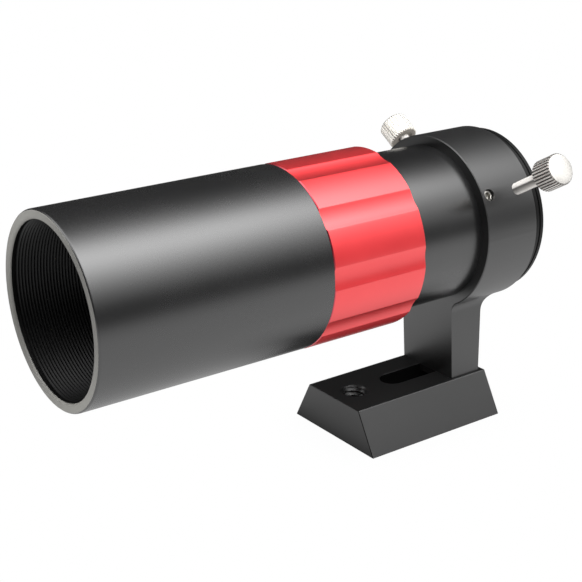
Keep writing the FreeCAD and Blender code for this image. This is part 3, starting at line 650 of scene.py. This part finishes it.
def lock_ring():
    """The red fluted ring and the washer at its front end."""
    # (radius, along, corner radius)
    outline = soften([
        (21.3, 0, 0), (LOBE - 0.2, 0, 0.03), (LOBE, 0.2, 0.04),
        (LOBE, RING_LONG - 0.16, 0.05), (LOBE - 0.16, RING_LONG, 0.05),
        (19.68, RING_LONG, 0.1), (19.68, RING_LONG - 2, 0.08), (20.5, RING_LONG - 2, 0.08),
        (20.5, 12, 0.08), (20.05, 12, 0.08), (20.05, 0.6, 0.08), (21.3, 0.6, 0.08)], 0.1)
    rings = []
    for r, h in outline:
        if r > 21.6:
            columns = lock_columns(r)
        else:
            columns = [(angle, r) for angle, _ in lock_columns(LOBE)]
        rings.append([(q * math.cos(a), q * math.sin(a), RING_AT + h) for a, q in columns])

    def side(centre, normal):
        """0 on the lobes and flutes, 1 on the ends and edges, 2 inside."""
        if off_axis(centre) < 21.2:
            return 2
        return 1 if abs(normal.y) > 0.2 else 0

    ring = rings_to_mesh("fluted_lock_ring", rings, optical, [RED, RED_EDGE, RED], side, sharp=20)
    wear(ring, "lock_ring", "lock_ring")
    ring.visible_glossy = False
    washer = turned("thrust_washer", [(20.1, 0), (21.2, 0), (21.2, 0.66), (20.1, 0.66)],
                    [PLASTIC], at=57.82, segs=128, soft=0.06)
    wear(washer, "washer", "lock_washer")


# ------------------------------------------------------------ eyepiece holder
def squeeze_band():
    """The compression ring: an open band with a gap at the bottom."""
    half_gap = math.asin(1.0 / 16.4)
    steps = 150
    outline = soften([(16.0, 0), (16.85, 0), (16.85, 4.6), (16.0, 4.6)], 0.12)
    bm = bmesh.new()
    rows = []
    for k in range(steps + 1):
        a = -math.pi / 2 + half_gap + (TAU - 2 * half_gap) * k / steps
        rows.append([bm.verts.new(optical(r * math.cos(a), r * math.sin(a), 113.3 + h))
                     for r, h in outline])
    count = len(outline)
    for a, b in zip(rows, rows[1:]):
        for k in range(count):
            m = (k + 1) % count
            bm.faces.new((a[k], a[m], b[m], b[k]))
    bm.faces.new(rows[0])
    bm.faces.new(rows[-1])
    bmesh.ops.recalc_face_normals(bm, faces=bm.faces)
    band = smooth_object("brass_squeeze_band", bm, [BRASS])
    wear(band, "tube_and_mount", "compression_ring")


def eyepiece_holder():
    """The socket at the rear, with a way cut through its wall for each thumb screw."""
    holder = turned("eyepiece_socket", [
        (15.95, 0), (16.95, 0), (16.95, 5.6), (19.59, 5.6), (19.59, 16.0), (20.6, 16.0, 0.05),
        (20.6, 16.6, 0.05), (21.1, 16.75, 0.05), (21.1, 17.6, 0.05), (20.75, 17.7, 0.04),
        (20.75, 18.0, 0.04), (21.1, 18.1, 0.05), (21.1, 19.0, 0.12), (20.8, 19.3, 0.12),
        (16.55, 19.3, 0.12), (15.95, 18.7, 0.12), (15.95, 13.6, 0.05), (16.9, 13.6, 0.05),
        (16.9, 8.6, 0.05), (15.95, 8.6, 0.05)], [HOLDER, MATT], at=104.5)
    ways = [turned("screw_way", [(0, 15.2, 0), (1.7, 15.2, 0), (1.7, 20.6, 0), (0, 20.6, 0)],
                   [HOLDER], place=radial_place(angle, CLAMP_AT), segs=40, soft=0)
            for angle in (NEAR_ANGLE, FAR_ANGLE)]

    def side(centre, normal):
        """1 in the bore, 0 elsewhere."""
        return 1 if off_axis(centre) < 16.2 and centre.y - FRONT_Y < 123 else 0

    holder = carve(holder, ways, "eyepiece_socket", [HOLDER, MATT], 30, side)
    wear(holder, "tube_and_mount", "eyepiece_holder")


# ---------------------------------------------------------------- dovetail foot
def foot_block():
    """The bar before cutting: 32 wide at the table and narrower at the top."""
    section = [(-16, 0), (16, 0), (10.1, FOOT_TALL), (-10.1, FOOT_TALL)]    # (x, z)
    bm = bmesh.new()
    front, rear = ([bm.verts.new(Vector((x, y, z)) * MM) for x, z in section]
                   for y in (-FOOT_HALF_LONG, FOOT_HALF_LONG))
    bm.faces.new(front)
    bm.faces.new(rear)
    for k in range(4):
        m = (k + 1) % 4
        bm.faces.new((front[k], front[m], rear[m], rear[k]))
    bmesh.ops.recalc_face_normals(bm, faces=bm.faces)
    bmesh.ops.bevel(bm, geom=list(bm.edges), offset=0.2 * MM, segments=3, profile=0.5,
                    affect="EDGES")
    return new_object("foot_base", bm)


def stadium(radius):
    """The slot's outline, as (x, y): a half circle at each end."""
    steps = 20
    points = []
    for start, y in ((0, SLOT_REAR), (math.pi, SLOT_FRONT)):
        for k in range(steps + 1):
            a = start + math.pi * k / steps
            points.append((radius * math.cos(a), y + radius * math.sin(a)))
    return points


def thread_cutter():
    """A screw-shaped cutter: its wall follows the thread and it flares at both mouths."""
    major, depth, pitch, mouth = 3.175, 0.5, 1.27, 0.35
    bottom, top = -0.3, FOOT_TALL + 0.3
    segs, per_turn = 64, 8
    steps = int((top - bottom) / pitch * per_turn)
    levels = []
    for i in range(steps + 1):
        z = bottom + (top - bottom) * i / steps
        points = []
        for k in range(segs):
            phase = (z / pitch - k / segs) % 1.0
            tooth = abs(2 * phase - 1)
            r = major - depth * min(1.0, max(0.0, tooth * 1.25 - 0.12))
            for end, inward in ((0.0, 1), (FOOT_TALL, -1)):
                inside = (z - end) * inward
                if inside < mouth:
                    r = max(r, major + mouth - max(inside, -0.3))
            points.append((r * math.cos(TAU * k / segs), THREAD_Y + r * math.sin(TAU * k / segs)))
        levels.append((z, points))
    return stack("foot_thread", levels)


def foot_side(centre, normal):
    """0 on the flanks and base, 1 in the slot, 2 on the ends, top and thread, 3 on corners."""
    in_slot = abs(centre.x) < 5.3 and -7.3 < centre.y < 20.2
    if in_slot and 0.05 < centre.z < FOOT_TALL - 0.2:
        return 1
    if abs(normal.y) > 0.22 and abs(normal.x) > 0.3 and abs(centre.y) > 20.8:
        return 3
    in_thread = math.hypot(centre.x, centre.y - THREAD_Y) < 3.6
    return 2 if abs(normal.y) > 0.8 or normal.z > 0.85 or in_thread else 0


def dovetail_foot():
    """The foot, with a slot stepped wider underneath and a threaded hole in front of it."""
    wide, narrow, flare, lip = 5.0, 3.25, 0.25, 0.15
    block = foot_block()
    counter = stack("foot_counter", [
        (-1, stadium(wide + flare)), (0.0, stadium(wide + flare)),
        (flare, stadium(wide)), (5.8, stadium(wide))])
    slot = stack("foot_slot_cut", [
        (5.0, stadium(narrow)), (FOOT_TALL - lip, stadium(narrow)),
        (FOOT_TALL, stadium(narrow + lip)), (12.0, stadium(narrow + lip))])
    foot = carve(block, [counter, slot, thread_cutter()], "dovetail_bar",
                 [FOOT, VOID, FOOT_END, FOOT_EDGE], 28, foot_side)
    wear(foot, "tube_and_mount", "dovetail_foot")


def foot_screw():
    """The cap screw up through the slot, and its washer."""
    mouth = 1.19
    # (radius, height)
    rest = [(4.25, mouth + 3.4), (4.05, mouth + 3.6), (2.5, mouth + 3.6)]
    z = mouth + 4.6
    while z < mouth + 17.4:
        rest += [(2.49, z), (2.12, z + 0.4)]
        z += 0.8
    rest += [(2.1, mouth + 18.1), (0, mouth + 18.1)]
    screw = socket_screw("foot_cap_screw", foot_upright, OXIDE, mouth=mouth, way=1, head=4.25,
                         flats=4.0, socket=2.2, chamfer=0.4, rest=rest)
    wear(screw, "tube_and_mount", "foot_screw")
    washer = turned("foot_flat_washer", [(2.65, 0), (4.9, 0), (4.9, 0.99), (2.65, 0.99)],
                    [STEEL], at=4.8, place=foot_upright, segs=64)
    wear(washer, "tube_and_mount", "foot_screw_washer")


def set_screws():
    for side, angle in (("near", NEAR_ANGLE), ("far", FAR_ANGLE)):
        grub = socket_screw("set_screw_" + side, radial_place(angle, GRUB_AT), SET_STEEL,
                            mouth=21.45, way=-1, head=1.49, flats=1.5, socket=1.1, chamfer=0.4,
                            rest=[(1.49, 19.83), (1.27, 19.62), (0, 19.615)], segs=36)
        wear(grub, "tube_and_mount", "tube_set_screws")


# --------------------------------------------------------------- clamp screws
KNOB_R, KNOB_LONG = 3.9, 6.0
TEETH, NOTCH_WIDE, NOTCH_DEEP = 32, 0.38, 0.32
SHANK_R = 1.5
SHANK_OUT = 10.85           # from the shank's tip to the knob's foot
KNOB_BORE = 4.1             # how far the shank runs into the knob


def knob(side, angle, start):
    """A knob with notches all round, its outer end slightly domed."""
    outline = soften([
        (1.52, 0.5, 0), (2.5, 0.5, 0.06), (2.5, 0, 0.08), (KNOB_R - 0.35, 0, 0.06),
        (KNOB_R, 0.35, 0.06), (KNOB_R, KNOB_LONG - 0.35, 0.05), (KNOB_R - 0.35, KNOB_LONG, 0.08),
        (KNOB_R - 1.6, KNOB_LONG + 0.17, 0), (0.9, KNOB_LONG + 0.23, 0),
        (0, KNOB_LONG + 0.25, 0), (0, 4.2, 0), (1.52, 4.2, 0)], 0.05, 2)
    rings = []
    half = NOTCH_WIDE / 2 / KNOB_R
    for r, h in outline:
        if r < 1e-6:
            rings.append([(0, 0, h)])
            continue
        row = []
        for tooth in range(TEETH):
            middle = TAU * tooth / TEETH
            land0, land1 = middle + half, middle + TAU / TEETH - half
            row.append((middle, min(r, KNOB_R - NOTCH_DEEP)))
            row += [(a, r) for a in (land0, (land0 * 2 + land1) / 3, (land0 + land1 * 2) / 3,
                                     land1)]
        rings.append([(q * math.cos(a), q * math.sin(a), h) for a, q in row])
    place = radial_place(angle, CLAMP_AT, start)
    base = place(0, 0, 0) / MM
    along = (place(0, 0, 1) - place(0, 0, 0)).normalized()

    def pick(centre, normal):
        """0 on lands and ends, 1 on notch walls, 2 underneath, 3 on the outer edge break.

        Notch walls lean away from the straight outward direction.
        """
        from_base = centre - base
        out = from_base - along * from_base.dot(along)
        rise = normal.dot(along)
        if rise < -0.6:
            return 2
        if 0.3 < rise < 0.9 and out.length > KNOB_R - 0.33 \
                and from_base.dot(along) > KNOB_LONG - 0.36:
            return 3
        if out.length < KNOB_R - 0.34 or abs(rise) > 0.5:
            return 0
        return 1 if normal.dot(out.normalized()) < 0.93 else 0

    # Painted shade on the near knob's notch walls, painted light on the far knob's.
    walls = NOTCH_PAINTED_SHADE if side == "near" else NOTCH_PAINTED_LIGHT
    obj = rings_to_mesh(side + "_thumb_knob", rings, place, [NICKEL, walls, TURNED_AND_SHADED, KNOB_EDGE],
                        pick, sharp=24)
    wear(obj, side + "_knob", side + "_clamp_screw_knob")


def stud(side, angle, start):
    length = SHANK_OUT + KNOB_BORE
    obj = turned(side + "_thumb_shank", [
        (0, 0, 0), (1.1, 0, 0.08), (SHANK_R, 0.4, 0.08), (SHANK_R, length, 0), (0, length, 0)],
        [SHANK], place=radial_place(angle, CLAMP_AT, start), segs=48, soft=0.05)
    obj.visible_glossy = False
    wear(obj, side + "_stud", side + "_clamp_screw_stud")


def clamp_screws():
    # (side, angle, the shank's tip from the optical axis)
    for side, angle, tip in (("near", NEAR_ANGLE, 21.0), ("far", FAR_ANGLE, 16.9)):
        knob(side, angle, tip + SHANK_OUT)
        stud(side, angle, tip)


# ----------------------------------------------------------------------- stage
def level_grid(name, segments, size, height, mat):
    bm = bmesh.new()
    bmesh.ops.create_grid(bm, x_segments=segments, y_segments=segments, size=size)
    obj = new_object(name, bm, [mat])
    obj.location = (0, 0, height)
    return obj


def studio_floor():
    """A glowing pale floor, seen only by the camera, with a faint painted contact shadow: a little
    darker near contact.
    """
    g = new_material("pale_floor")
    occlusion = g.node("AmbientOcclusion", {"samples": 8}, Distance=0.012)
    shade = g.span(occlusion.outputs["AO"], (0.3, 1.0), (0.975, 1.0))
    mat = g.finish(g.node("Emission", Color=shade, Strength=1.0))
    floor = level_grid("studio_floor", 4, size=1.6, height=-0.00005, mat=mat)
    floor.visible_glossy = False
    floor.visible_diffuse = False
    floor.visible_transmission = False
    floor.visible_shadow = False


# (degrees round the Y axis, 0 at +X and 90 straight up; brightness)
SURROUND = [(-180, .03), (-166, .07), (-150, .5), (-142, .7), (-122, .78), (-102, .9),
            (-62, 1.12), (-24, 1.2), (-13, .95), (-7, .34), (0, .14), (9, .14), (16, .3),
            (24, .1), (140, .06), (180, .05)]
SURROUND_PEAK = 2.0         # scales the brightnesses into the ramp's 0 to 1
NEAR_TABLE = 1.15           # brightness low down toward the front and -X


def studio_world():
    """A bright table below and a dim room above, and plain white to the camera."""
    world = bpy.data.worlds.new("studio")
    bpy.context.scene.world = world
    g = Graph(world, "OutputWorld")
    x, y, z = g.split(g.node("TexCoord").outputs["Generated"])
    around = g.span(g.math("ARCTAN2", z, x), (-math.pi, math.pi))
    stops = [((a + 180) / 360, v / SURROUND_PEAK) for a, v in SURROUND]
    level = g.multiply(g.ramp(around, stops), SURROUND_PEAK)
    forward = g.span(y, (-0.15, -0.45), smooth=True)
    below = g.span(z, (-0.02, -0.22), smooth=True)
    minus_x = g.span(x, (0.1, -0.35), smooth=True)
    near = g.multiply(g.multiply(forward, below), minus_x)
    level = g.add(g.multiply(level, g.subtract(1.0, near)), g.multiply(near, NEAR_TABLE))
    seen = g.node("MixRGB")
    white = (1, 1, 1, 1)
    for i, value in enumerate((g.node("LightPath").outputs["Is Camera Ray"], level, white)):
        g.feed(seen.inputs[i], value)
    g.finish(g.node("Background", Color=seen.outputs[0]))


BOX_RADIUS = 0.5
BOX_END = 155               # the panel runs from 0 to this, degrees above +X
BOX_PEAK = 6.5
# (degrees above +X round the optical axis, strength)
BOX = [(0, .12), (12, .14), (17, .42), (27, 1.05), (37, 2.05), (47, 3.5), (57, 5.2),
       (67, BOX_PEAK), (77, 5.6), (87, 3.3), (97, 1.45), (107, .6), (117, .27), (127, .14),
       (140, .09), (155, .08)]
# The same, for an added low glow at the rear.
REAR_GLOW = [(0, .14), (8, .28), (17, .52), (27, .78), (37, .62), (47, .1), (57, 0)]
# (fraction of the way from y = 0.20 to y = 0.80, share of the strength left)
REAR_FADE = [(0, 1.0), (0.08, 1.0), (0.16, 0.80), (0.24, 0.62), (0.33, 0.48), (0.6, 0.25),
             (1, 0.1)]


def softbox_material():
    g = new_material("softbox_panel")
    x, y, z = g.split(g.node("NewGeometry").outputs["Position"])
    around = g.span(g.math("ARCTAN2", g.subtract(z, AXIS_Z * MM), x), (0, math.pi))
    lobe = g.multiply(g.ramp(around, [(a / 180, v / BOX_PEAK) for a, v in BOX]), BOX_PEAK)
    lobe = g.multiply(lobe, g.ramp(g.span(y, (0.20, 0.80)), REAR_FADE))
    lobe = g.multiply(lobe, g.span(y, (-0.20, -0.45), (1, 0.04), smooth=True))
    glow = g.multiply(g.ramp(around, [(a / 180, v) for a, v in REAR_GLOW]),
                      g.span(y, (0.36, 0.415), smooth=True))
    lobe = g.add(lobe, glow)
    # A patch at the front, past the top on the -X side, of strength 2.6.
    patch = g.multiply(g.span(y, (-0.14, -0.26), smooth=True),
                       g.span(around, (80 / 180, 95 / 180), smooth=True))
    patch = g.multiply(patch, g.span(around, (150 / 180, 132 / 180), smooth=True))
    patch = g.multiply(patch, g.span(y, (-0.85, -0.65), (0, 2.6), smooth=True))
    return g.finish(g.node("Emission", Strength=g.add(lobe, patch)))


def softbox():
    """Part of a tube round the optical axis, brightest high on +X and fading to both ends."""
    steps = 72
    mat = softbox_material()
    bm = bmesh.new()
    rows = []
    for i in range(steps + 1):
        a = math.radians(BOX_END * i / steps)
        x, z = BOX_RADIUS * math.cos(a), AXIS_Z * MM + BOX_RADIUS * math.sin(a)
        rows.append([bm.verts.new((x, y, z)) for y in (-0.9, -0.3, 0.3, 0.9)])
    for a, b in zip(rows, rows[1:]):
        for k in range(3):
            bm.faces.new((a[k], a[k + 1], b[k + 1], b[k]))
    panel = new_object("softbox_panel", bm, [mat])
    panel.visible_camera = False
    panel.visible_shadow = False


def table_shadow():
    """The table is in shadow under the foot, and less so the further out from it."""
    g = new_material("table_in_shadow")
    position = g.split(g.node("NewGeometry").outputs["Position"])

    def beyond(value, half):
        return g.math("MAXIMUM", g.subtract(g.math("ABSOLUTE", value), half), 0.0)

    away = g.length(beyond(position[0], 0.0155), beyond(position[1], 0.0206))
    cover = g.ramp(g.span(away, (0, 0.026)),
                   [(0, 1.0), (0.02, 0.75), (0.3, 0.35), (0.65, 0.12), (1, 0.0)])
    dark = g.node("BsdfDiffuse",
                  Color=g.ramp(g.noise(80, rough=0.5), [(0.3, 0.001), (0.7, 0.002)]))
    clear = g.node("BsdfTransparent")
    blend = g.node("MixShader")
    for i, value in enumerate((cover, clear.outputs[0], dark.outputs[0])):
        g.feed(blend.inputs[i], value)
    under = level_grid("shadow_round_foot", 2, size=0.06, height=-0.00003, mat=g.finish(blend))
    under.visible_camera = False
    under.visible_shadow = False


def photo_camera():
    """The camera, in front on the +X side and above, looking down at the scope."""
    data = bpy.data.cameras.new("photo_camera")
    data.sensor_width = 36
    data.sensor_fit = "HORIZONTAL"
    data.lens = 78.865979381
    data.clip_start, data.clip_end = 0.01, 10
    camera = bpy.data.objects.new("photo_camera", data)
    bpy.context.scene.collection.objects.link(camera)
    right = (0.58144685, 0.81347208, -0.0135178)
    up = (-0.27311962, 0.21081522, 0.93859609)
    backward = (0.76637147, -0.54205176, 0.34475303)
    pose = Matrix((right, up, backward)).transposed().to_4x4()
    pose.translation = (0.231763, -0.197538, 0.146157)
    camera.matrix_world = pose
    bpy.context.scene.camera = camera
    bpy.context.scene.view_settings.view_transform = "Standard"
    bpy.context.scene.view_settings.look = "None"


# ----------------------------------------------------------------------- build
front_barrel()
lens_mount()
objective()
main_tube()
lock_ring()
squeeze_band()
recolour("mounting_bracket", BRACKET)
eyepiece_holder()
dovetail_foot()
foot_screw()
set_screws()
clamp_screws()

studio_floor()
studio_world()
softbox()
table_shadow()
photo_camera()
